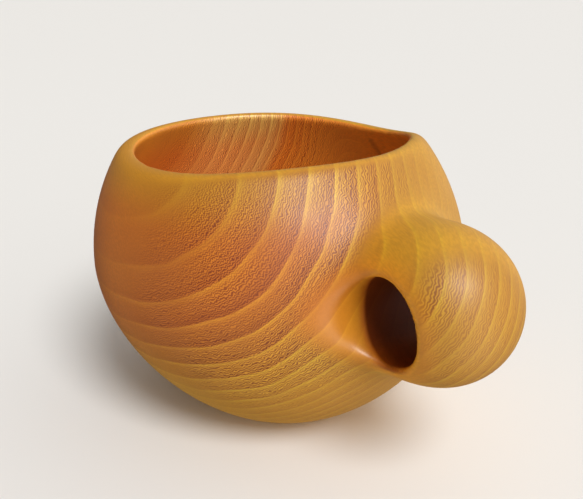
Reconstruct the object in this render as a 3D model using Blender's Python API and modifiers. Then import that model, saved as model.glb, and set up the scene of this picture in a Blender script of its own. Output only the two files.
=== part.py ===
"""Kuksa: a wooden drinking cup with a pierced knob for a handle, carved whole from one burr.

Metres, +Z up. The origin is on the flat foot, under the middle of the belly, and the handle
points along +X.
The blank is turned and joined from simple solids. Its surface is then settled onto the carved
form, which is the same solids with every junction blended round.
"""

import math

import bmesh
import bpy
import numpy as np

MM = 0.001

# Bowl: an egg standing on its narrow end, widest at the belly, cut off at the foot and the rim.
BELLY_HEIGHT = 39.1 * MM
BELLY_RADIUS_X = 48.5 * MM
BELLY_RADIUS_Y = 46.1 * MM
EGG_DROP = 44.0 * MM            # from the belly down to the egg's lower tip, below the foot
EGG_RISE = 48.5 * MM            # from the belly up to the egg's upper tip, above the rim
POWER_BELOW = 1.77              # 2 is an ellipse, less is more pointed
POWER_ABOVE = 1.97
LEAN = -0.048                   # sideways shift towards the handle for each unit of height

# Rim: its height wanders round the cup, and it lifts in a low crest beside the handle.
RIM_HEIGHT = 66.9 * MM
BLANK_HEIGHT = 70.5 * MM        # of the turned blank, before its rim is carved
RIM_RADIUS = 41.8 * MM          # where the waves below have their full size
RIM_WAVES = (                   # (waves round the cup, along X, along Y)
    (1, 0.6 * MM, -1.6 * MM),
    (2, 2.0 * MM, -1.8 * MM),
    (3, 1.0 * MM, -0.4 * MM),
)
CREST_ANGLE = math.radians(49)
CREST_HEIGHT = 6.4 * MM
CREST_SPREAD = 19.2 * MM
RIM_ROUNDING = 3.0 * MM
LIP_ROUNDING = 4.0 * MM         # where the wall is thin, it draws the lip's two sides together

# Cavity: the wall thins from the belly to the rim.
WALL = 6.5 * MM
FLOOR = 6.5 * MM
CAVITY_RISE = 52.0 * MM

# Handle: an egg-shaped knob that grows out of the bowl, pierced sideways for one finger.
KNOB_X = 56.3 * MM
KNOB_Z = 44.2 * MM
KNOB_RADII = (17.5 * MM, 16.5 * MM, 17.0 * MM)
KNOB_TILT = math.radians(8)     # its foot swings out, away from the bowl
KNOB_BLEND = 19.3 * MM
HOLE_X = 53.9 * MM
HOLE_Z = 42.6 * MM
HOLE_RADIUS = 9.4 * MM
HOLE_ROUNDING = 4.0 * MM
HOLE_LENGTH = 90.0 * MM

# Mesh
PROFILE_POINTS = 24
TURNING_STEPS = 64
VOXEL = 1.0 * MM
SETTLING_STEPS = 12
LAST_STEPS = 3                  # once there are fewer faces
SETTLING_LIMIT = 1.5 * MM       # the furthest that a point moves in one step
EVENING = 0.5                   # share of the way to its neighbours' middle, each step
GRADIENT_STEP = 0.05 * MM
LEAST_STEEPNESS = 0.1           # keeps a step finite where the form has no clear slope
TINY = 1e-9                     # keeps a division finite at a shape's own centre
FACE_SHARE = 0.08               # of the remeshed faces, left after Decimate
MERGE_DISTANCE = 0.01 * MM
FOOT_ANGLE = math.radians(35)   # edges sharper than this are shaded sharp

WOOD_COLOUR = (0.45, 0.20, 0.05, 1.0)
WOOD_ROUGHNESS = 0.4


# ---------------------------------------------------------------- the carved form

def smooth_min(a, b, width):
    """Union of two distances with a round fillet about `width` wide."""
    overlap = np.maximum(width - np.abs(a - b), 0.0) / width
    return np.minimum(a, b) - overlap ** 3 * width / 6.0


def smooth_max(a, b, width):
    return -smooth_min(-a, -b, width)


def egg_distance(points, radius_x, radius_y, drop, rise):
    """Distance to a leaning egg whose belly is at BELLY_HEIGHT, negative inside."""
    above = points[:, 2] - BELLY_HEIGHT
    x = (points[:, 0] - LEAN * above) / radius_x
    y = points[:, 1] / radius_y
    tip = np.where(above > 0.0, rise, drop)
    power = np.where(above > 0.0, POWER_ABOVE, POWER_BELOW)
    out = np.hypot(x, y) + TINY
    up = np.abs(above) / tip + TINY
    size = (out ** power + up ** power) ** (1.0 / power)
    mean_radius = math.sqrt(radius_x * radius_y)
    slope = np.hypot(out ** (power - 1.0) / mean_radius, up ** (power - 1.0) / tip)
    return (size - 1.0) / (size ** (1.0 - power) * slope)


def ellipsoid_distance(offsets, radii):
    scaled = offsets / np.array(radii)
    size = np.linalg.norm(scaled, axis=1) + TINY
    slope = np.linalg.norm(scaled / np.array(radii), axis=1) + TINY
    return size * (size - 1.0) / slope


def knob_distance(points):
    dx = points[:, 0] - KNOB_X
    dz = points[:, 2] - KNOB_Z
    along = dx * math.cos(KNOB_TILT) + dz * math.sin(KNOB_TILT)
    up = dz * math.cos(KNOB_TILT) - dx * math.sin(KNOB_TILT)
    return ellipsoid_distance(np.column_stack((along, points[:, 1], up)), KNOB_RADII)


def hole_distance(points):
    return np.hypot(points[:, 0] - HOLE_X, points[:, 2] - HOLE_Z) - HOLE_RADIUS


def rim_height(points):
    x = points[:, 0] / RIM_RADIUS
    y = points[:, 1] / RIM_RADIUS
    height = np.full(len(points), RIM_HEIGHT)
    spin = x + 1j * y
    for waves, along_x, along_y in RIM_WAVES:
        turned = spin ** waves
        height += along_x * turned.real + along_y * turned.imag
    crest_x = x - math.cos(CREST_ANGLE)
    crest_y = y - math.sin(CREST_ANGLE)
    away = np.hypot(crest_x, crest_y) * RIM_RADIUS / CREST_SPREAD
    return height + CREST_HEIGHT * np.exp(-0.5 * away ** 2)


def carved_form(points):
    """Distance to the finished surface, before the foot is cut flat."""
    bowl = egg_distance(points, BELLY_RADIUS_X, BELLY_RADIUS_Y, EGG_DROP, EGG_RISE)
    cavity = egg_distance(points, BELLY_RADIUS_X - WALL, BELLY_RADIUS_Y - WALL,
                          BELLY_HEIGHT - FLOOR, CAVITY_RISE)
    body = smooth_min(bowl, knob_distance(points), KNOB_BLEND)
    body = smooth_max(body, -hole_distance(points), HOLE_ROUNDING)
    body = smooth_max(body, -cavity, LIP_ROUNDING)
    return smooth_max(body, points[:, 2] - rim_height(points), RIM_ROUNDING)


def steepest(points):
    """The form's gradient at each point, and the gradient's squared length."""
    gradient = np.empty_like(points)
    for axis in range(3):
        step = np.zeros(3)
        step[axis] = GRADIENT_STEP
        rise = carved_form(points + step) - carved_form(points - step)
        gradient[:, axis] = rise / (2.0 * GRADIENT_STEP)
    return gradient, np.maximum((gradient ** 2).sum(axis=1), LEAST_STEEPNESS)


def onto_form(points):
    """Moves points along the form's gradient towards the carved surface."""
    gradient, squared = steepest(points)
    move = np.clip(carved_form(points) / squared, -SETTLING_LIMIT, SETTLING_LIMIT)
    return points - gradient * move[:, None]


def slide(points, pull):
    """Moves points by the part of a pull that lies along the surface."""
    gradient, squared = steepest(points)
    outward = (pull * gradient).sum(axis=1) / squared
    return points + EVENING * (pull - gradient * outward[:, None])


def settle(mesh, steps):
    """Draws the mesh onto the carved surface, and evens out its faces on the way."""
    points = np.empty(len(mesh.vertices) * 3, dtype=np.float32)
    mesh.vertices.foreach_get("co", points)
    points = points.reshape(-1, 3).astype(float)
    edges = np.empty(len(mesh.edges) * 2, dtype=np.int32)
    mesh.edges.foreach_get("vertices", edges)
    ends = edges.reshape(-1, 2)
    starts = np.concatenate((ends[:, 0], ends[:, 1]))
    finishes = np.concatenate((ends[:, 1], ends[:, 0]))
    neighbours = np.bincount(starts, minlength=len(points))
    for _ in range(steps):
        middle = np.column_stack([
            np.bincount(starts, weights=points[finishes, axis], minlength=len(points))
            for axis in range(3)]) / neighbours[:, None]
        points = onto_form(slide(points, middle - points))
    points = onto_form(onto_form(points))
    mesh.vertices.foreach_set("co", points.astype(np.float32).ravel())
    mesh.update()


# ---------------------------------------------------------------- the blank

def collection(name):
    made = bpy.data.collections.new(name)
    bpy.context.scene.collection.children.link(made)
    return made


def add_object(name, mesh, group):
    made = bpy.data.objects.new(name, mesh)
    group.objects.link(made)
    return made


def egg_profile(radius, drop, rise, top):
    """Half outline of an egg, from the middle of its flat top down to its lower tip."""
    bottom = BELLY_HEIGHT - drop
    outline = [(0.0, top)]
    for step in range(PROFILE_POINTS):
        turn = math.pi * step / PROFILE_POINTS
        height = bottom + (top - bottom) * 0.5 * (1.0 + math.cos(turn))
        above = height - BELLY_HEIGHT
        tip, power = (rise, POWER_ABOVE) if above > 0.0 else (drop, POWER_BELOW)
        share = (1.0 - (abs(above) / tip) ** power) ** (1.0 / power)
        outline.append((radius * share, height))
    outline.append((0.0, bottom))
    return outline


def turned(name, outline, group, squash):
    """A solid of revolution from a half outline that runs down its outer side."""
    mesh = bpy.data.meshes.new(name)
    points = [(radius, 0.0, height) for radius, height in outline]
    edges = [(i, i + 1) for i in range(len(points) - 1)]
    mesh.from_pydata(points, edges, [])
    made = add_object(name, mesh, group)
    made.scale.y = squash
    screw = made.modifiers.new("turning", "SCREW")
    screw.steps = TURNING_STEPS
    screw.render_steps = TURNING_STEPS
    screw.use_merge_vertices = True
    screw.merge_threshold = MERGE_DISTANCE
    return made


def primitive(name, group, create, **sizes):
    mesh = bpy.data.meshes.new(name)
    shape = bmesh.new()
    create(shape, **sizes)
    shape.to_mesh(mesh)
    shape.free()
    return add_object(name, mesh, group)


def cut_or_join(target, tool, operation):
    tool.hide_render = True
    tool.display_type = "WIRE"
    boolean = target.modifiers.new(tool.name, "BOOLEAN")
    boolean.operation = operation
    boolean.solver = "EXACT"
    boolean.object = tool


def remesh(target):
    voxels = target.modifiers.new("even_faces", "REMESH")
    voxels.mode = "VOXEL"
    voxels.voxel_size = VOXEL
    voxels.use_smooth_shade = True


def bake(target):
    """Replaces an object's mesh by what its modifiers make of it."""
    bpy.context.view_layer.update()
    seen = target.evaluated_get(bpy.context.evaluated_depsgraph_get())
    mesh = bpy.data.meshes.new_from_object(seen)
    mesh.transform(target.matrix_world)
    target.modifiers.clear()
    target.data = mesh
    target.scale = (1.0, 1.0, 1.0)


def make_tools(group):
    """The knob that joins the bowl, and the cutters for the finger hole and the cavity."""
    knob = primitive("knob", group, bmesh.ops.create_uvsphere,
                     u_segments=TURNING_STEPS, v_segments=PROFILE_POINTS, radius=1.0)
    knob.scale = KNOB_RADII
    knob.location = (KNOB_X, 0.0, KNOB_Z)
    knob.rotation_euler.y = -KNOB_TILT

    hole = primitive("finger_hole", group, bmesh.ops.create_cone, cap_ends=True,
                     segments=TURNING_STEPS, radius1=HOLE_RADIUS, radius2=HOLE_RADIUS,
                     depth=HOLE_LENGTH)
    hole.location = (HOLE_X, 0.0, HOLE_Z)
    hole.rotation_euler.x = math.pi / 2.0

    inner_radius = BELLY_RADIUS_X - WALL
    outline = egg_profile(inner_radius, BELLY_HEIGHT - FLOOR, CAVITY_RISE,
                          BLANK_HEIGHT + RIM_ROUNDING)
    cavity = turned("cavity", outline, group, (BELLY_RADIUS_Y - WALL) / inner_radius)
    return knob, hole, cavity


def make_cup(group, tools):
    outline = egg_profile(BELLY_RADIUS_X, EGG_DROP, EGG_RISE, BLANK_HEIGHT)
    cup = turned("cup", outline, group, BELLY_RADIUS_Y / BELLY_RADIUS_X)
    knob, hole, cavity = make_tools(tools)
    cut_or_join(cup, knob, "UNION")
    cut_or_join(cup, hole, "DIFFERENCE")
    cut_or_join(cup, cavity, "DIFFERENCE")
    remesh(cup)
    bake(cup)
    settle(cup.data, SETTLING_STEPS)
    remesh(cup)
    bake(cup)
    settle(cup.data, SETTLING_STEPS)
    lighter = cup.modifiers.new("fewer_faces", "DECIMATE")
    lighter.ratio = FACE_SHARE
    bake(cup)
    settle(cup.data, LAST_STEPS)
    below = primitive("below_foot", tools, bmesh.ops.create_cube, size=1.0)
    below.scale = (BELLY_RADIUS_X * 2.0, BELLY_RADIUS_Y * 2.0, EGG_DROP)
    below.location.z = -EGG_DROP / 2.0
    cut_or_join(cup, below, "DIFFERENCE")
    bake(cup)
    return cup


def wood():
    material = bpy.data.materials.new("oiled_wood")
    material.use_nodes = True
    shader = material.node_tree.nodes["Principled BSDF"]
    shader.inputs["Base Color"].default_value = WOOD_COLOUR
    shader.inputs["Roughness"].default_value = WOOD_ROUGHNESS
    shader.inputs["Metallic"].default_value = 0.0
    return material


def main():
    for old in list(bpy.data.objects):
        bpy.data.objects.remove(old, do_unlink=True)
    cup = make_cup(collection("kuksa"), collection("kuksa_tools"))
    cup.data.materials.clear()
    cup.data.materials.append(wood())
    cup.data.shade_smooth()
    cup.data.set_sharp_from_angle(angle=FOOT_ANGLE)


main()
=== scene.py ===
"""Looks of a kuksa: an oiled wooden cup, carved whole, on a plain pale floor.

The cup is remeshed finely and settled onto the form that the CAD part approximates. Its wood is a
solid texture: growth rings are cylinders round the tree's pith, so they run through the bowl, the
rim and the knob without a break.
"""

import math

import bmesh
import bpy
import numpy as np
from mathutils import Matrix, Vector


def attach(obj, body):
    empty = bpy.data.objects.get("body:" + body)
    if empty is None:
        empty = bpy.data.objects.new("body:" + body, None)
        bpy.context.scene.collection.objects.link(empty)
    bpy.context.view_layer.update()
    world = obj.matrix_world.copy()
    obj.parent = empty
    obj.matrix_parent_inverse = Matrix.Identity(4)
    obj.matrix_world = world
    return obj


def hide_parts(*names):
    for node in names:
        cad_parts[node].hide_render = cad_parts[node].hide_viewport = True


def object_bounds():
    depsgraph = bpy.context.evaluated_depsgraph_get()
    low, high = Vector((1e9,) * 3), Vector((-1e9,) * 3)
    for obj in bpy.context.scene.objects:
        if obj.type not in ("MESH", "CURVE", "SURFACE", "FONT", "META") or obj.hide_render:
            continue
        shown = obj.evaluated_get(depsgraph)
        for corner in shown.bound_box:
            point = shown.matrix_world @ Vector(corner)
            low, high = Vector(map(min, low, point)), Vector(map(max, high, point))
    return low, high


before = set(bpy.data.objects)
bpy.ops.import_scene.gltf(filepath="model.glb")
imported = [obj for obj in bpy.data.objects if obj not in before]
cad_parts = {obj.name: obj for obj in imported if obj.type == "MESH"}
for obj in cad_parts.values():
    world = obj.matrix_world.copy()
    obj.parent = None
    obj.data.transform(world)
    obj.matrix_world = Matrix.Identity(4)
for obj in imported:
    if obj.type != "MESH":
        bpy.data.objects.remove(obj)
cad_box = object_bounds()

MM = 0.001
UPWARDS = Vector((0.0, 0.0, 1.0))

# Bowl: an egg standing on its narrow end, widest at the belly, cut off at the foot and the rim.
BELLY_HEIGHT = 39.1 * MM
BELLY_RADIUS_X = 48.5 * MM
BELLY_RADIUS_Y = 46.1 * MM
EGG_DROP = 44.0 * MM
EGG_RISE = 48.5 * MM
POWER_BELOW = 1.77
POWER_ABOVE = 1.97
LEAN = -0.048

# Rim
RIM_HEIGHT = 66.9 * MM
RIM_RADIUS = 41.8 * MM
RIM_WAVES = (
    (1, 0.6 * MM, -1.6 * MM),
    (2, 2.0 * MM, -1.8 * MM),
    (3, 1.0 * MM, -0.4 * MM),
)
CREST_ANGLE = math.radians(49)
CREST_HEIGHT = 6.4 * MM
CREST_SPREAD = 19.2 * MM
RIM_ROUNDING = 3.0 * MM
LIP_ROUNDING = 4.0 * MM

# Cavity
WALL = 6.5 * MM
FLOOR = 6.5 * MM
CAVITY_RISE = 52.0 * MM

# Handle
KNOB_X = 56.3 * MM
KNOB_Z = 44.2 * MM
KNOB_RADII = (17.5 * MM, 16.5 * MM, 17.0 * MM)
KNOB_TILT = math.radians(8)
KNOB_BLEND = 19.3 * MM
HOLE_X = 53.9 * MM
HOLE_Z = 42.6 * MM
HOLE_RADIUS = 9.4 * MM
HOLE_ROUNDING = 4.0 * MM

FOOT_ROUNDING = 1.5 * MM

# Mesh
VOXEL = 0.8 * MM
REMESHINGS = 2
SETTLING_STEPS = 10
SETTLING_LIMIT = 1.0 * MM
EVENING = 0.5
GRADIENT_STEP = 0.05 * MM
LEAST_STEEPNESS = 0.1
TINY = 1e-9
WELD_DISTANCE = 0.001 * MM

# Camera
VIEW_ANGLE = math.radians(54)     # the side that it looks from, turned from -Y towards +X
VIEW_DISTANCE = 197.6 * MM        # level distance from the cup's axis
VIEW_HEIGHT = 113.5 * MM
VIEW_YAW = math.radians(0.99)
VIEW_PITCH = math.radians(20.63)
VIEW_ROLL = math.radians(0.21)
LENS = 50.27                      # mm, on a 36 mm wide sensor


# ---------------------------------------------------------------- the carved form

def smooth_min(a, b, width):
    """Union of two distances with a round fillet about `width` wide."""
    overlap = np.maximum(width - np.abs(a - b), 0.0) / width
    return np.minimum(a, b) - overlap ** 3 * width / 6.0


def smooth_max(a, b, width):
    return -smooth_min(-a, -b, width)


def egg_distance(points, radius_x, radius_y, drop, rise):
    """Distance to a leaning egg whose belly is at BELLY_HEIGHT, negative inside."""
    above = points[:, 2] - BELLY_HEIGHT
    x = (points[:, 0] - LEAN * above) / radius_x
    y = points[:, 1] / radius_y
    tip = np.where(above > 0.0, rise, drop)
    power = np.where(above > 0.0, POWER_ABOVE, POWER_BELOW)
    out = np.hypot(x, y) + TINY
    up = np.abs(above) / tip + TINY
    size = (out ** power + up ** power) ** (1.0 / power)
    mean_radius = math.sqrt(radius_x * radius_y)
    slope = np.hypot(out ** (power - 1.0) / mean_radius, up ** (power - 1.0) / tip)
    return (size - 1.0) / (size ** (1.0 - power) * slope)


def ellipsoid_distance(offsets, radii):
    scaled = offsets / np.array(radii)
    size = np.linalg.norm(scaled, axis=1) + TINY
    slope = np.linalg.norm(scaled / np.array(radii), axis=1) + TINY
    return size * (size - 1.0) / slope


def knob_distance(points):
    dx = points[:, 0] - KNOB_X
    dz = points[:, 2] - KNOB_Z
    along = dx * math.cos(KNOB_TILT) + dz * math.sin(KNOB_TILT)
    up = dz * math.cos(KNOB_TILT) - dx * math.sin(KNOB_TILT)
    return ellipsoid_distance(np.column_stack((along, points[:, 1], up)), KNOB_RADII)


def hole_distance(points):
    return np.hypot(points[:, 0] - HOLE_X, points[:, 2] - HOLE_Z) - HOLE_RADIUS


def rim_height(points):
    x = points[:, 0] / RIM_RADIUS
    y = points[:, 1] / RIM_RADIUS
    height = np.full(len(points), RIM_HEIGHT)
    spin = x + 1j * y
    for waves, along_x, along_y in RIM_WAVES:
        turned = spin ** waves
        height += along_x * turned.real + along_y * turned.imag
    crest_x = x - math.cos(CREST_ANGLE)
    crest_y = y - math.sin(CREST_ANGLE)
    away = np.hypot(crest_x, crest_y) * RIM_RADIUS / CREST_SPREAD
    return height + CREST_HEIGHT * np.exp(-0.5 * away ** 2)


def carved_form(points):
    """Distance to the finished surface, with the foot's edge rounded."""
    bowl = egg_distance(points, BELLY_RADIUS_X, BELLY_RADIUS_Y, EGG_DROP, EGG_RISE)
    cavity = egg_distance(points, BELLY_RADIUS_X - WALL, BELLY_RADIUS_Y - WALL,
                          BELLY_HEIGHT - FLOOR, CAVITY_RISE)
    body = smooth_min(bowl, knob_distance(points), KNOB_BLEND)
    body = smooth_max(body, -hole_distance(points), HOLE_ROUNDING)
    body = smooth_max(body, -cavity, LIP_ROUNDING)
    body = smooth_max(body, points[:, 2] - rim_height(points), RIM_ROUNDING)
    return smooth_max(body, -points[:, 2], FOOT_ROUNDING)


def steepest(points):
    """The form's gradient at each point, and the gradient's squared length."""
    gradient = np.empty_like(points)
    for axis in range(3):
        step = np.zeros(3)
        step[axis] = GRADIENT_STEP
        rise = carved_form(points + step) - carved_form(points - step)
        gradient[:, axis] = rise / (2.0 * GRADIENT_STEP)
    return gradient, np.maximum((gradient ** 2).sum(axis=1), LEAST_STEEPNESS)


def onto_form(points):
    """Moves points along the form's gradient towards the carved surface."""
    gradient, squared = steepest(points)
    move = np.clip(carved_form(points) / squared, -SETTLING_LIMIT, SETTLING_LIMIT)
    return points - gradient * move[:, None]


def slide(points, pull):
    """Moves points by the part of a pull that lies along the surface."""
    gradient, squared = steepest(points)
    outward = (pull * gradient).sum(axis=1) / squared
    return points + EVENING * (pull - gradient * outward[:, None])


def settle(mesh):
    """Draws the mesh onto the carved surface, and evens out its faces on the way."""
    points = np.empty(len(mesh.vertices) * 3, dtype=np.float32)
    mesh.vertices.foreach_get("co", points)
    points = points.reshape(-1, 3).astype(float)
    edges = np.empty(len(mesh.edges) * 2, dtype=np.int32)
    mesh.edges.foreach_get("vertices", edges)
    ends = edges.reshape(-1, 2)
    starts = np.concatenate((ends[:, 0], ends[:, 1]))
    finishes = np.concatenate((ends[:, 1], ends[:, 0]))
    neighbours = np.bincount(starts, minlength=len(points))
    for _ in range(SETTLING_STEPS):
        middle = np.column_stack([
            np.bincount(starts, weights=points[finishes, axis], minlength=len(points))
            for axis in range(3)]) / neighbours[:, None]
        points = onto_form(slide(points, middle - points))
    points = onto_form(onto_form(points))
    mesh.vertices.foreach_set("co", points.astype(np.float32).ravel())
    mesh.update()


def remesh(target):
    """Replaces an object's mesh by an even one made of small faces."""
    voxels = target.modifiers.new("even_faces", "REMESH")
    voxels.mode = "VOXEL"
    voxels.voxel_size = VOXEL
    voxels.use_smooth_shade = True
    bpy.context.view_layer.update()
    seen = target.evaluated_get(bpy.context.evaluated_depsgraph_get())
    mesh = bpy.data.meshes.new_from_object(seen)
    target.modifiers.clear()
    target.data = mesh


def weld(mesh):
    """Joins the points that the frame's mesh repeats along its sharp edges."""
    shape = bmesh.new()
    shape.from_mesh(mesh)
    bmesh.ops.remove_doubles(shape, verts=shape.verts, dist=WELD_DISTANCE)
    shape.to_mesh(mesh)
    shape.free()


def fit_in_box(mesh, box):
    """Shrinks the mesh about the foot's middle by a hair, where it stands out of the box."""
    factor = 1.0
    for axis in range(3):
        places = [vertex.co[axis] for vertex in mesh.vertices]
        for limit, extreme in ((box[0][axis], min(places)), (box[1][axis], max(places))):
            if abs(extreme) > abs(limit) > 0.0:
                factor = min(factor, limit / extreme)
    mesh.transform(Matrix.Scale(factor, 4))


def carve_cup(cad):
    """A fine mesh of the cup, grown from the CAD solid."""
    cup = bpy.data.objects.new("carved_cup", cad.data.copy())
    bpy.context.scene.collection.objects.link(cup)
    weld(cup.data)
    for _ in range(REMESHINGS):
        remesh(cup)
        settle(cup.data)
    fit_in_box(cup.data, cad_box)
    cup.data.shade_smooth()
    return cup


# ---------------------------------------------------------------- node helpers

class Nodes:
    """Short forms for building a node tree."""

    def __init__(self, tree):
        self.tree = tree

    def add(self, kind, **settings):
        node = self.tree.nodes.new(kind)
        for name, value in settings.items():
            setattr(node, name, value)
        return node

    def put(self, socket, value):
        if isinstance(value, bpy.types.NodeSocket):
            self.tree.links.new(value, socket)
        else:
            socket.default_value = value

    def math(self, operation, a, b=0.0, clamp=False):
        node = self.add("ShaderNodeMath", operation=operation, use_clamp=clamp)
        self.put(node.inputs[0], a)
        self.put(node.inputs[1], b)
        return node.outputs[0]

    def vector(self, operation, a, b=None, scale=None):
        node = self.add("ShaderNodeVectorMath", operation=operation)
        self.put(node.inputs[0], a)
        if b is not None:
            self.put(node.inputs[1], b)
        if scale is not None:
            self.put(node.inputs["Scale"], scale)
        if operation in ("DOT_PRODUCT", "LENGTH"):
            return node.outputs["Value"]
        return node.outputs["Vector"]

    def noise(self, place, size, detail=2.0, colour=False):
        """Noise with features about `size` metres across, from 0 to 1."""
        node = self.add("ShaderNodeTexNoise")
        self.put(node.inputs["Vector"], place)
        node.inputs["Scale"].default_value = 1.0 / size
        node.inputs["Detail"].default_value = detail
        return node.outputs["Color" if colour else "Fac"]

    def ramp(self, value, stops):
        """Runs through the stops, each a place from 0 to 1 and a colour or a grey."""
        node = self.add("ShaderNodeValToRGB")
        self.put(node.inputs["Fac"], value)
        elements = node.color_ramp.elements
        while len(elements) < len(stops):
            elements.new(1.0)
        for element, (place, colour) in zip(elements, stops):
            red_green_blue = colour if isinstance(colour, tuple) else (colour, colour, colour)
            element.position = place
            element.color = (*red_green_blue, 1.0)
        return node.outputs["Color"]

    def between(self, value, low, high, at_low, at_high):
        """Runs from at_low to at_high as the value goes from low to high, and no further."""
        node = self.add("ShaderNodeMapRange", interpolation_type="SMOOTHSTEP")
        self.put(node.inputs["Value"], value)
        node.inputs["From Min"].default_value = low
        node.inputs["From Max"].default_value = high
        node.inputs["To Min"].default_value = at_low
        node.inputs["To Max"].default_value = at_high
        return node.outputs["Result"]

    def mix(self, share, a, b, blend="MIX"):
        node = self.add("ShaderNodeMix", data_type="RGBA", blend_type=blend)
        self.put(node.inputs["Factor"], share)
        self.put(node.inputs["A"], a)
        self.put(node.inputs["B"], b)
        return node.outputs["Result"]

    def tint(self, colour, tint, share=1.0):
        """The colour multiplied by a tint, or by a share of it."""
        return self.mix(share, colour, tint, blend="MULTIPLY")


# ---------------------------------------------------------------- the wood

# The tree stood along PITH_ALONG, and its pith passes through PITH_POINT, beside the rim.
PITH_POINT = Vector((-21.4, -37.1, 75.6)) * MM
PITH_ALONG = Vector((-0.9059, 0.4205, -0.0497)).normalized()
TYPICAL_RADIUS = 68.0 * MM        # of the wood that shows, from the pith

# Rings
RING_START = 30.0 * MM            # a ring's edge, from the pith
RING_WIDTH = 8.1 * MM             # the ring outside it. Further out they grow narrower.
RING_CROWDING = 31.0 * MM         # the distance over which a ring's width halves
INNER_RINGS = 10.0                # at least as many rings as there are inside RING_START
SWELLING = 0.35                   # how much closer the rings stand on the far side of the cup
SWELLING_REACH = 30.0 * MM        # how far along the pith it takes them to draw that close
SWAY = 6.0 * MM                   # how far the rings wander
SWAY_SIZE = 32.0 * MM
YEAR_COLOURS = (                  # from one year's first wood to its last
    (0.00, (0.670, 0.410, 0.018)),
    (0.05, (0.580, 0.318, 0.015)),
    (0.18, (0.480, 0.225, 0.011)),
    (0.55, (0.425, 0.180, 0.009)),
    (0.86, (0.340, 0.120, 0.006)),
    (0.94, (0.395, 0.158, 0.008)),
    (1.00, (0.670, 0.410, 0.018)),
)
PLAIN_DARK = (0.395, 0.158, 0.008, 1.0)       # wood whose rings don't show, in soft patches
PLAIN_PALE = (0.475, 0.220, 0.011, 1.0)
PATCH_SIZE = 24.0 * MM
CLEARNESS_SIZE = 15.0 * MM        # of the places where the rings show more or less clearly

# Ripples: wavy bands of vessels that follow the rings, and fine fibres along the grain.
RIPPLE_WIDTH = 0.50 * MM          # from one band of vessels to the next
RIPPLE_WAVE = 0.85 * MM           # the size of their waves
RIPPLE_LENGTH = 8.0 * MM          # how far along the grain they stay alike
RIPPLE_WAVER = 1.8                # how far the waves push a band, in bands
RIPPLE_TROUGH = (0.50, 0.33, 0.30, 1.0)
RIPPLE_CREST = (1.33, 1.55, 1.35, 1.0)
RIPPLE_SEASONS = ((0.0, 0.2), (0.3, 0.8), (0.9, 1.0), (1.0, 0.2))    # their depth through a year
RIPPLE_PATCH_SIZE = 12.0 * MM
FIBRE_WIDTH = 0.5 * MM
FIBRE_LENGTH = 14.0 * MM
FIBRE_RELIEF = 0.8                # how high they stand beside the ripples
RELIEF = 0.03 * MM
RELIEF_STRENGTH = 0.25

# Tints, which multiply the colour of the wood under them. Several of them paint light and shade, as
# their notes say.
WHITE = (1.0, 1.0, 1.0, 1.0)
HEARTWOOD = (0.98, 0.56, 0.52, 1.0)           # the oldest wood
SIDE_GRAIN = (1.34, 1.45, 1.1, 1.0)           # where the cut runs along the grain
WEAR_AND_PAINTED_HIGHLIGHT = (1.10, 1.16, 1.25, 1.0)           # edges that hands and lips have rubbed, paler also as a painted highlight along them
PAINTED_CAVITY_LIGHT_FIRST = (1.40, 1.15, 2.40, 1.0)         # painted light on the cavity's wall, outwards from the pith
PAINTED_CAVITY_LIGHT_PALE = (1.75, 2.35, 13.0, 1.0)
PAINTED_CAVITY_LIGHT_LAST = (1.65, 1.12, 2.40, 1.0)
DEEP_TINT = (0.80, 0.85, 1.50, 1.0)           # the cavity's lower half, darker, in place of the painted light above
FINGER_POLISH_AND_PAINTED_LIGHT = (1.28, 1.08, 1.3, 1.0)          # polish of fingers round their hole, and painted light that lifts the shade on its flare
BORE_PAINTED_SHADE = (0.30, 0.21, 0.45, 1.0)           # painted shade in the deep middle of the finger hole
# painted penumbra round that painted shade
BORE_PAINTED_PENUMBRA = (0.80, 0.55, 0.50, 1.0)

# Finger hole, and where its painted shade lies
BORE_DEPTH = 10.3 * MM            # the painted shade lies nearer its middle than this
BORE_BOW = 20.0                   # per metre: how much further out above and below its axis
BORE_REACH = 11.2 * MM            # and nearer its axis than this

# A dark fleck on the cavity's wall
FLECK_START = Vector((-4.4, 35.2, 62.0)) * MM
FLECK_END = Vector((-1.4, 37.0, 57.5)) * MM
FLECK_COLOUR = (0.10, 0.025, 0.006, 1.0)

# Soft steps: the two ends of the input, then the value at each end. Lengths are in metres.
# `cut` is 1 where the surface crosses the grain squarely, and 0 where it runs along it.
INSIDE_BY_FACING = (-0.8, -0.45, 1.0, 0.0)
NEAR_FINGER_HOLE_BY_REACH = (10.2 * MM, 15.5 * MM, 1.0, 0.0)
CLEAR_BY_NOISE = (0.35, 0.6, 0.55, 1.0)
CLEAR_BY_CUT = (0.45, 0.85, 0.3, 1.0)
CLEAR_BY_RADIUS = (24 * MM, 42 * MM, 0.35, 1.0)
UNCLEAR_BY_RADIUS = (54 * MM, 70 * MM, 1.0, 0.5)
CLEAR_BY_INSIDE = (0.0, 1.0, 1.0, 0.55)
CLEAR_BY_FINGERED = (0.0, 1.0, 1.0, 0.35)
YOUNG_BY_RADIUS = (40 * MM, 66 * MM, 0.0, 1.0)
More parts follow.
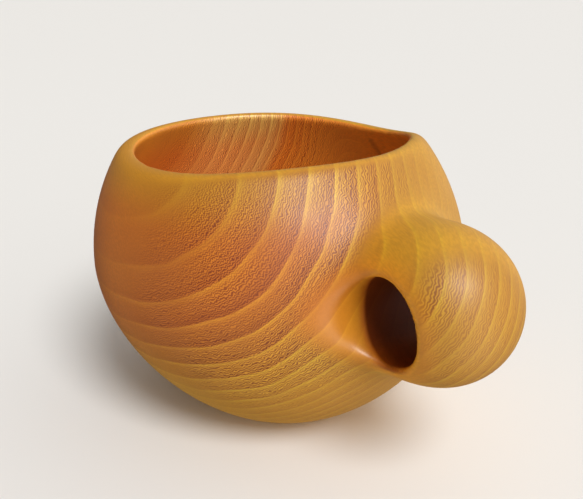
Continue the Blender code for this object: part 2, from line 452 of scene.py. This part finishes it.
# paler near the top: painted light from above
PAINTED_TOP_LIGHT_BY_HEIGHT = (55 * MM, 68 * MM, 0.0, 0.8)
SIDE_GRAIN_BY_CUT = (0.35, 0.7, 1.0, 0.0)
RIPPLE_BY_CUT = (0.5, 0.82, 0.0, 1.0)
RIPPLE_BY_RADIUS = (60 * MM, 72 * MM, 1.0, 0.3)
RIPPLE_BY_NOISE = (0.35, 0.6, 0.6, 1.0)
FIBRES_BY_CUT = (0.4, 0.8, 1.0, 0.35)
FIBRE_SHADE = (0.3, 0.7, 0.91, 1.07)
PALE_BY_RADIUS = (24 * MM, 38 * MM, 0.0, 1.0)
LAST_BY_RADIUS = (49 * MM, 55 * MM, 0.0, 1.0)
UPPER_BY_HEIGHT = (30 * MM, 54 * MM, 0.0, 1.0)
FLECK_BY_GAP = (0.2 * MM, 1.6 * MM, 0.38, 0.0)
# The finger hole's painted shade, its softer painted penumbra, and its dimmed reflections:
BORE_SHADE_BY_REACH = (BORE_REACH - 1.0 * MM, BORE_REACH, 1.0, 0.0)
BORE_SHADE_BY_DEPTH = (BORE_DEPTH - 1.0 * MM, BORE_DEPTH + 0.4 * MM, 1.0, 0.0)
BORE_PENUMBRA_BY_DEPTH = (BORE_DEPTH - 0.5 * MM, BORE_DEPTH + 2.0 * MM, 1.0, 0.0)
WORN_AND_HIGHLIT_BY_POINTINESS = (0.515, 0.56, 0.0, 1.0)
ROUGHNESS_BY_NOISE = (0.3, 0.7, 0.45, 0.51)
SPECULAR_BY_BORE_SHADE = (0.0, 1.0, 0.68, 0.12)

ROUGHNESS_SIZE = 9.0 * MM
POLISH = 0.12                     # how much less rough the worn and the fingered wood is


def tree_coordinates(n, place):
    """Distance from the pith, the way round it, and the distance along it, in metres."""
    first = PITH_ALONG.cross(UPWARDS).normalized()
    second = PITH_ALONG.cross(first)
    arm = n.vector("SUBTRACT", place, PITH_POINT)
    across = n.vector("DOT_PRODUCT", arm, first)
    upward = n.vector("DOT_PRODUCT", arm, second)
    along = n.vector("DOT_PRODUCT", arm, PITH_ALONG)
    radius = n.math("SQRT", n.math("ADD", n.math("MULTIPLY", across, across),
                                   n.math("MULTIPLY", upward, upward)))
    around = n.math("MULTIPLY", n.math("ARCTAN2", upward, across), TYPICAL_RADIUS)
    return radius, around, along


def year_number(n, radius, along):
    """Counts the rings outwards. It rises by one from each ring to the next."""
    swelling = n.between(along, 0.0, SWELLING_REACH, 1.0, 1.0 + SWELLING)
    outwards = n.math("SUBTRACT", n.math("MULTIPLY", radius, swelling), RING_START)
    even = n.math("DIVIDE", outwards, RING_WIDTH)
    crowding = n.math("ADD", n.math("MULTIPLY", outwards, 0.5 / RING_CROWDING), 1.0)
    return n.math("ADD", n.math("MULTIPLY", even, crowding), INNER_RINGS)


def grain_noise(n, tree_place, width, length, detail):
    """Noise drawn out along the grain, from 0 to 1."""
    radius, around, along = tree_place
    place = n.add("ShaderNodeCombineXYZ")
    n.put(place.inputs["X"], n.math("DIVIDE", around, width))
    n.put(place.inputs["Y"], n.math("DIVIDE", radius, width))
    n.put(place.inputs["Z"], n.math("DIVIDE", along, length))
    return n.noise(place.outputs[0], 1.0, detail=detail)


def finger_hole_place(n, place):
    """Distance from the finger hole's axis, and from its middle less the bow of its painted shade's
    edge.
    """
    arm = n.vector("SUBTRACT", place, (HOLE_X, 0.0, HOLE_Z))
    depth = n.math("ABSOLUTE", n.vector("DOT_PRODUCT", arm, (0.0, 1.0, 0.0)))
    rise = n.vector("DOT_PRODUCT", arm, UPWARDS)
    bow = n.math("MULTIPLY", n.math("MULTIPLY", rise, rise), BORE_BOW)
    reach = n.vector("LENGTH", n.vector("MULTIPLY", arm, (1.0, 0.0, 1.0)))
    return reach, n.math("SUBTRACT", depth, bow)


class Spot:
    """What the nodes know about the point of wood that is being shaded."""

    def __init__(self, n):
        geometry = n.add("ShaderNodeNewGeometry")
        normal = geometry.outputs["Normal"]
        self.pointiness = geometry.outputs["Pointiness"]
        self.place = n.add("ShaderNodeTexCoord").outputs["Object"]
        self.height = n.vector("DOT_PRODUCT", self.place, UPWARDS)

        noise = n.noise(self.place, SWAY_SIZE, colour=True)
        sway = n.vector("SUBTRACT", noise, (0.5, 0.5, 0.5))
        swayed = n.vector("ADD", self.place, n.vector("SCALE", sway, scale=SWAY))
        self.tree_place = tree_coordinates(n, swayed)
        self.radius = self.tree_place[0]
        self.season = n.math("FRACT", year_number(n, self.radius, self.tree_place[2]))
        self.cut = n.math("ABSOLUTE", n.vector("DOT_PRODUCT", normal, PITH_ALONG))

        from_axis = n.vector("NORMALIZE", n.vector("MULTIPLY", self.place, (1.0, 1.0, 0.0)))
        facing = n.vector("DOT_PRODUCT", normal, from_axis)
        self.inside = n.between(facing, *INSIDE_BY_FACING)
        self.reach, self.bore_depth = finger_hole_place(n, self.place)
        self.near_finger_hole = n.between(self.reach, *NEAR_FINGER_HOLE_BY_REACH)


def ring_clearness(n, spot):
    """How clearly the rings show, from 0 to 1."""
    clearness = n.between(n.noise(spot.place, CLEARNESS_SIZE), *CLEAR_BY_NOISE)
    for value, step in (
        (spot.cut, CLEAR_BY_CUT),
        (spot.radius, CLEAR_BY_RADIUS),
        (spot.radius, UNCLEAR_BY_RADIUS),
        (spot.inside, CLEAR_BY_INSIDE),
        (spot.near_finger_hole, CLEAR_BY_FINGERED),
    ):
        clearness = n.math("MULTIPLY", clearness, n.between(value, *step))
    return clearness


def ringed_colour(n, spot):
    """The wood's colour: rings over soft patches, older and redder near the pith, and paler near the
    top as painted light from above.
    """
    plain = n.mix(n.noise(spot.place, PATCH_SIZE), PLAIN_DARK, PLAIN_PALE)
    colour = n.mix(ring_clearness(n, spot), plain, n.ramp(spot.season, YEAR_COLOURS))
    # Redder heartwood near the pith. Near the top the redness fades, which is painted light from
    # above.
    youth_and_top_light = n.math("MAXIMUM", n.between(spot.radius, *YOUNG_BY_RADIUS),
                   n.between(spot.height, *PAINTED_TOP_LIGHT_BY_HEIGHT))
    colour = n.tint(colour, n.mix(youth_and_top_light, HEARTWOOD, WHITE))
    return n.tint(colour, SIDE_GRAIN, n.between(spot.cut, *SIDE_GRAIN_BY_CUT))


def ripples(n, spot):
    """Wavy bands of vessels, from -1 to 1, which fade where the cut runs along the grain."""
    wave = grain_noise(n, spot.tree_place, RIPPLE_WAVE, RIPPLE_LENGTH, 0.0)
    bands = n.math("ADD", n.math("DIVIDE", spot.radius, RIPPLE_WIDTH),
                   n.math("MULTIPLY", wave, RIPPLE_WAVER))
    depth = n.math("SUBTRACT", 1.0, spot.near_finger_hole)
    for share in (
        n.between(spot.cut, *RIPPLE_BY_CUT),
        n.between(spot.radius, *RIPPLE_BY_RADIUS),
        n.ramp(spot.season, RIPPLE_SEASONS),
        n.between(n.noise(spot.place, RIPPLE_PATCH_SIZE, detail=1.0), *RIPPLE_BY_NOISE),
    ):
        depth = n.math("MULTIPLY", depth, share)
    return n.math("MULTIPLY", n.math("SINE", n.math("MULTIPLY", bands, 2.0 * math.pi)), depth)


def grained(n, spot, colour, ripple, fibres):
    """The colour with its ripples and fibres."""
    colour = n.tint(colour, n.mix(n.between(ripple, -1.0, 1.0, 0.0, 1.0), RIPPLE_TROUGH, RIPPLE_CREST))
    return n.tint(colour, n.between(fibres, *FIBRE_SHADE), n.between(spot.cut, *FIBRES_BY_CUT))


def fleck_share(n, place):
    """How much of the fleck's colour shows: some along the fleck, and none away from it."""
    along = FLECK_END - FLECK_START
    arm = n.vector("SUBTRACT", place, FLECK_START)
    share = n.math("DIVIDE", n.vector("DOT_PRODUCT", arm, along), along.length_squared, clamp=True)
    nearest = n.vector("SCALE", tuple(along), scale=share)
    gap = n.vector("LENGTH", n.vector("SUBTRACT", arm, nearest))
    return n.between(gap, *FLECK_BY_GAP)


def hollowed(n, spot, colour):
    """The colour with painted light on the cavity's wall, darker in its lower half, and with its
    fleck.
    """
    # Painted light on the cavity's wall, staged by distance from the pith, with a darker tint lower
    # down.
    tint = n.mix(n.between(spot.radius, *PALE_BY_RADIUS), PAINTED_CAVITY_LIGHT_FIRST, PAINTED_CAVITY_LIGHT_PALE)
    tint = n.mix(n.between(spot.radius, *LAST_BY_RADIUS), tint, PAINTED_CAVITY_LIGHT_LAST)
    tint = n.mix(n.between(spot.height, *UPPER_BY_HEIGHT), DEEP_TINT, tint)
    return n.mix(fleck_share(n, spot.place), n.tint(colour, tint, spot.inside), FLECK_COLOUR)


def wood_material():
    material = bpy.data.materials.new("oiled_wood")
    material.use_nodes = True
    shader = material.node_tree.nodes["Principled BSDF"]
    n = Nodes(material.node_tree)
    spot = Spot(n)
    ripple = ripples(n, spot)
    fibres = grain_noise(n, spot.tree_place, FIBRE_WIDTH, FIBRE_LENGTH, 2.0)
    # Painted shade deep in the finger hole, where the knob hides the light, with a softer painted
    # penumbra at its edge.
    in_bore = n.between(spot.reach, *BORE_SHADE_BY_REACH)
    painted_bore_shade = n.math("MULTIPLY", in_bore, n.between(spot.bore_depth, *BORE_SHADE_BY_DEPTH))
    painted_bore_penumbra = n.math("MULTIPLY", in_bore, n.between(spot.bore_depth, *BORE_PENUMBRA_BY_DEPTH))
    # Sharp edges, found by pointiness: wear from hands and lips, and a painted highlight along the
    # rim's edge.
    worn_and_highlit = n.between(spot.pointiness, *WORN_AND_HIGHLIT_BY_POINTINESS)

    colour = grained(n, spot, ringed_colour(n, spot), ripple, fibres)
    colour = hollowed(n, spot, colour)
    # Paler round the finger hole: polish of fingers, and painted light that lifts the shade on the
    # hole's flare.
    colour = n.tint(colour, FINGER_POLISH_AND_PAINTED_LIGHT, spot.near_finger_hole)
    colour = n.tint(colour, BORE_PAINTED_PENUMBRA, painted_bore_penumbra)
    colour = n.tint(colour, BORE_PAINTED_SHADE, painted_bore_shade)
    # Sharp edges are paler and whiter: wear, and a painted highlight.
    n.put(shader.inputs["Base Color"], n.tint(colour, WEAR_AND_PAINTED_HIGHLIGHT, worn_and_highlit))

    bump = n.add("ShaderNodeBump")
    n.put(bump.inputs["Height"], n.math("ADD", ripple, n.math("MULTIPLY", fibres, FIBRE_RELIEF)))
    bump.inputs["Distance"].default_value = RELIEF
    bump.inputs["Strength"].default_value = RELIEF_STRENGTH
    n.put(shader.inputs["Normal"], bump.outputs["Normal"])

    rough = n.between(n.noise(spot.place, ROUGHNESS_SIZE, detail=3.0), *ROUGHNESS_BY_NOISE)
    polish = n.math("MULTIPLY", n.math("MAXIMUM", worn_and_highlit, spot.near_finger_hole), POLISH)
    n.put(shader.inputs["Roughness"], n.math("SUBTRACT", rough, polish))
    # Reflections are dimmed under the painted shade in the finger hole.
    n.put(shader.inputs["Specular IOR Level"], n.between(painted_bore_shade, *SPECULAR_BY_BORE_SHADE))
    return material


# ---------------------------------------------------------------- the stage

FLOOR_HALF = 12.0                 # metres from its middle to its edges
FLOOR_COLOUR = (0.79, 0.79, 0.785, 1.0)
FLOOR_ROUGHNESS = 0.9
SUN_COLOUR = (1.0, 1.0, 0.99)
BOUNCE_COLOUR = (1.0, 0.95, 0.86)
SKY_COLOUR = (1.0, 0.94, 0.87, 1.0)
BRIGHT_SIDE = Vector((0.65, 0.60, 0.25)).normalized()
SKY_BY_SIDE = (-0.5, 0.9, 0.17, 0.85)         # a soft step, towards the bright side
SKY_BY_RISE = (-0.45, 0.0, 0.45, 1.0)         # and one that dims the sky below the horizon
SENSOR_WIDTH = 36.0               # mm
CLIP_START = 0.01


def add_floor():
    """A pale floor. It takes no part in reflections, and lets the light below it through."""
    mesh = bpy.data.meshes.new("floor")
    corners = [(-1, -1), (1, -1), (1, 1), (-1, 1)]
    mesh.from_pydata([(x * FLOOR_HALF, y * FLOOR_HALF, 0) for x, y in corners], [], [(0, 1, 2, 3)])
    floor = bpy.data.objects.new("floor", mesh)
    bpy.context.scene.collection.objects.link(floor)
    material = bpy.data.materials.new("pale_floor")
    material.use_nodes = True
    shader = material.node_tree.nodes["Principled BSDF"]
    shader.inputs["Base Color"].default_value = FLOOR_COLOUR
    shader.inputs["Roughness"].default_value = FLOOR_ROUGHNESS
    mesh.materials.append(material)
    floor.visible_glossy = False
    floor.visible_shadow = False


def add_sun(name, azimuth, height, softness, strength, colour):
    """A wide soft light from one side of the sky. The angles are in degrees."""
    light = bpy.data.lights.new(name, "SUN")
    light.angle = math.radians(softness)
    light.energy = strength
    light.color = colour
    lamp = bpy.data.objects.new(name, light)
    bpy.context.scene.collection.objects.link(lamp)
    lamp.rotation_euler = (0.0, math.radians(90.0 - height), math.radians(azimuth))


def add_light():
    """A sky that is brighter on one side, two suns, and a dimmer one that shines from below."""
    world = bpy.data.worlds.new("studio")
    bpy.context.scene.world = world
    bpy.context.scene.view_settings.view_transform = "Standard"
    world.use_nodes = True
    n = Nodes(world.node_tree)
    way = n.add("ShaderNodeTexCoord").outputs["Generated"]
    by_side = n.between(n.vector("DOT_PRODUCT", way, BRIGHT_SIDE), *SKY_BY_SIDE)
    by_rise = n.between(n.vector("DOT_PRODUCT", way, UPWARDS), *SKY_BY_RISE)
    sky = world.node_tree.nodes["Background"]
    sky.inputs["Color"].default_value = SKY_COLOUR
    n.put(sky.inputs["Strength"], n.math("MULTIPLY", by_side, by_rise))
    add_sun("window", azimuth=-12.0, height=48.0, softness=24.0, strength=2.3, colour=SUN_COLOUR)
    add_sun("fill", azimuth=-10.0, height=12.0, softness=50.0, strength=0.42, colour=SUN_COLOUR)
    add_sun("bounce", azimuth=8.0, height=-30.0, softness=60.0, strength=0.85, colour=BOUNCE_COLOUR)


def add_camera():
    ahead = Vector((-math.sin(VIEW_ANGLE), math.cos(VIEW_ANGLE), 0.0))
    right = Vector((math.cos(VIEW_ANGLE), math.sin(VIEW_ANGLE), 0.0))
    place = UPWARDS * VIEW_HEIGHT - ahead * VIEW_DISTANCE
    level = ahead * math.cos(VIEW_YAW) + right * math.sin(VIEW_YAW)
    side = level.cross(UPWARDS)
    look = level * math.cos(VIEW_PITCH) - UPWARDS * math.sin(VIEW_PITCH)
    over = side.cross(look)
    rolled = side * math.cos(VIEW_ROLL) + over * math.sin(VIEW_ROLL)
    camera = bpy.data.cameras.new("camera")
    camera.lens = LENS
    camera.sensor_width = SENSOR_WIDTH
    camera.clip_start = CLIP_START
    seat = bpy.data.objects.new("camera", camera)
    bpy.context.scene.collection.objects.link(seat)
    seat.matrix_world = Matrix((rolled, rolled.cross(look), -look)).transposed().to_4x4()
    seat.location = place
    bpy.context.scene.camera = seat


cup = carve_cup(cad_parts["cup"])
cup.data.materials.clear()
cup.data.materials.append(wood_material())
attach(cup, "root")
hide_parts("cup")
add_floor()
add_light()
add_camera()
